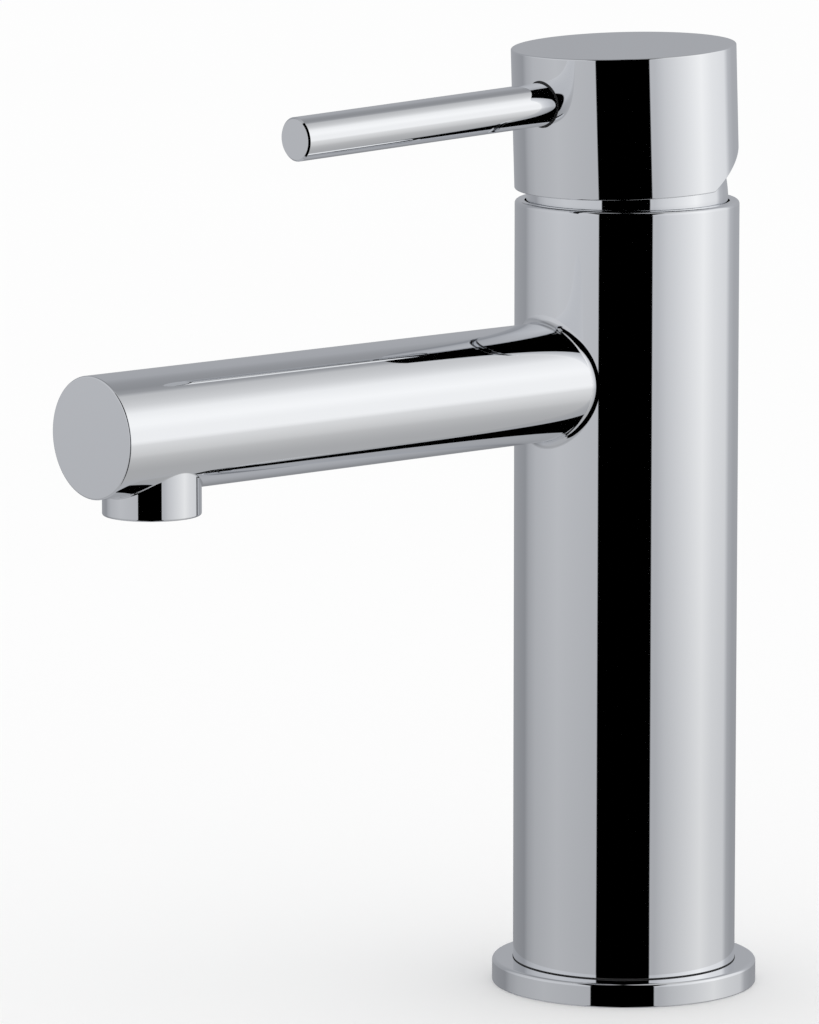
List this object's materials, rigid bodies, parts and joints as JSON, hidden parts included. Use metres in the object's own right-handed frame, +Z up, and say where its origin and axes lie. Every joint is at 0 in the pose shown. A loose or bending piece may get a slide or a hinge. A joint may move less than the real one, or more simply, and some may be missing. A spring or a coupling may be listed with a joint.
{
  "type": "basin mixer faucet",
  "caption": "Cylindrical chrome basin mixer with a straight tube spout, recessed aerator, round base flange and a tilting, turning cap with a pin lever.",
  "frame": {"origin": "centre of the flange's underside, on the body's axis", "axes": "+Z up along the body's axis, +X towards the spout's tip"},
  "size_m": [0.1643, 0.0536, 0.1913],
  "materials": {
    "polished_chrome": "mirror polished",
    "raw_brass": "machined",
    "plain_steel": "satin",
    "seal_rubber": "matt",
    "grey_plastic": "moulded",
    "white_plastic": "moulded",
    "red_plastic": "moulded",
    "ceramic": "lapped"
  },
  "bodies": {
    "body": {"base_flange": "polished_chrome", "base_gasket": "seal_rubber", "body_tube": "polished_chrome", "waterway_core": "raw_brass", "spout_nipple": "raw_brass", "spout_tube": "polished_chrome", "spout_tip_plug": "polished_chrome", "outlet_collar": "polished_chrome", "aerator_housing": "grey_plastic", "aerator_outlet_grid": "white_plastic", "aerator_screens": "plain_steel", "aerator_flow_regulator": "white_plastic", "aerator_seal": "seal_rubber", "port_seals": "seal_rubber", "cartridge_base": "white_plastic", "disc_seals": "seal_rubber", "fixed_ceramic_disc": "ceramic", "cartridge_housing": "white_plastic", "temperature_limit_ring": "red_plastic", "retaining_nut": "raw_brass", "dome_seal": "seal_rubber", "dome_cover": "polished_chrome"},
    "turning_guide": {"lever_guide": "grey_plastic", "pivot_pin": "plain_steel"},
    "moving_disc": {"moving_ceramic_disc": "ceramic", "disc_carrier": "grey_plastic"},
    "handle": {"spindle": "raw_brass", "handle_cap": "polished_chrome", "lever_grub_screw": "plain_steel", "pin_lever": "polished_chrome"}
  },
  "joints": [
    {"name": "temperature_turn", "type": "hinge", "parent": "body", "child": "turning_guide", "pos_m": [0, 0, 0.16], "axis": [0, 0, 1], "range_deg": [-45, 45]},
    {"name": "flow_tilt", "type": "hinge", "parent": "turning_guide", "child": "handle", "pos_m": [0, 0, 0.16], "axis": [0, -1, 0], "range_deg": [0, 25]},
    {"name": "disc_slide", "type": "slide", "parent": "turning_guide", "child": "moving_disc", "axis": [1, 0, 0], "range_m": [0, 0.0046]}
  ],
  "couplings": [
    {"joint": "disc_slide", "follows": "flow_tilt", "m_per_rad": 0.01024}
  ]
}
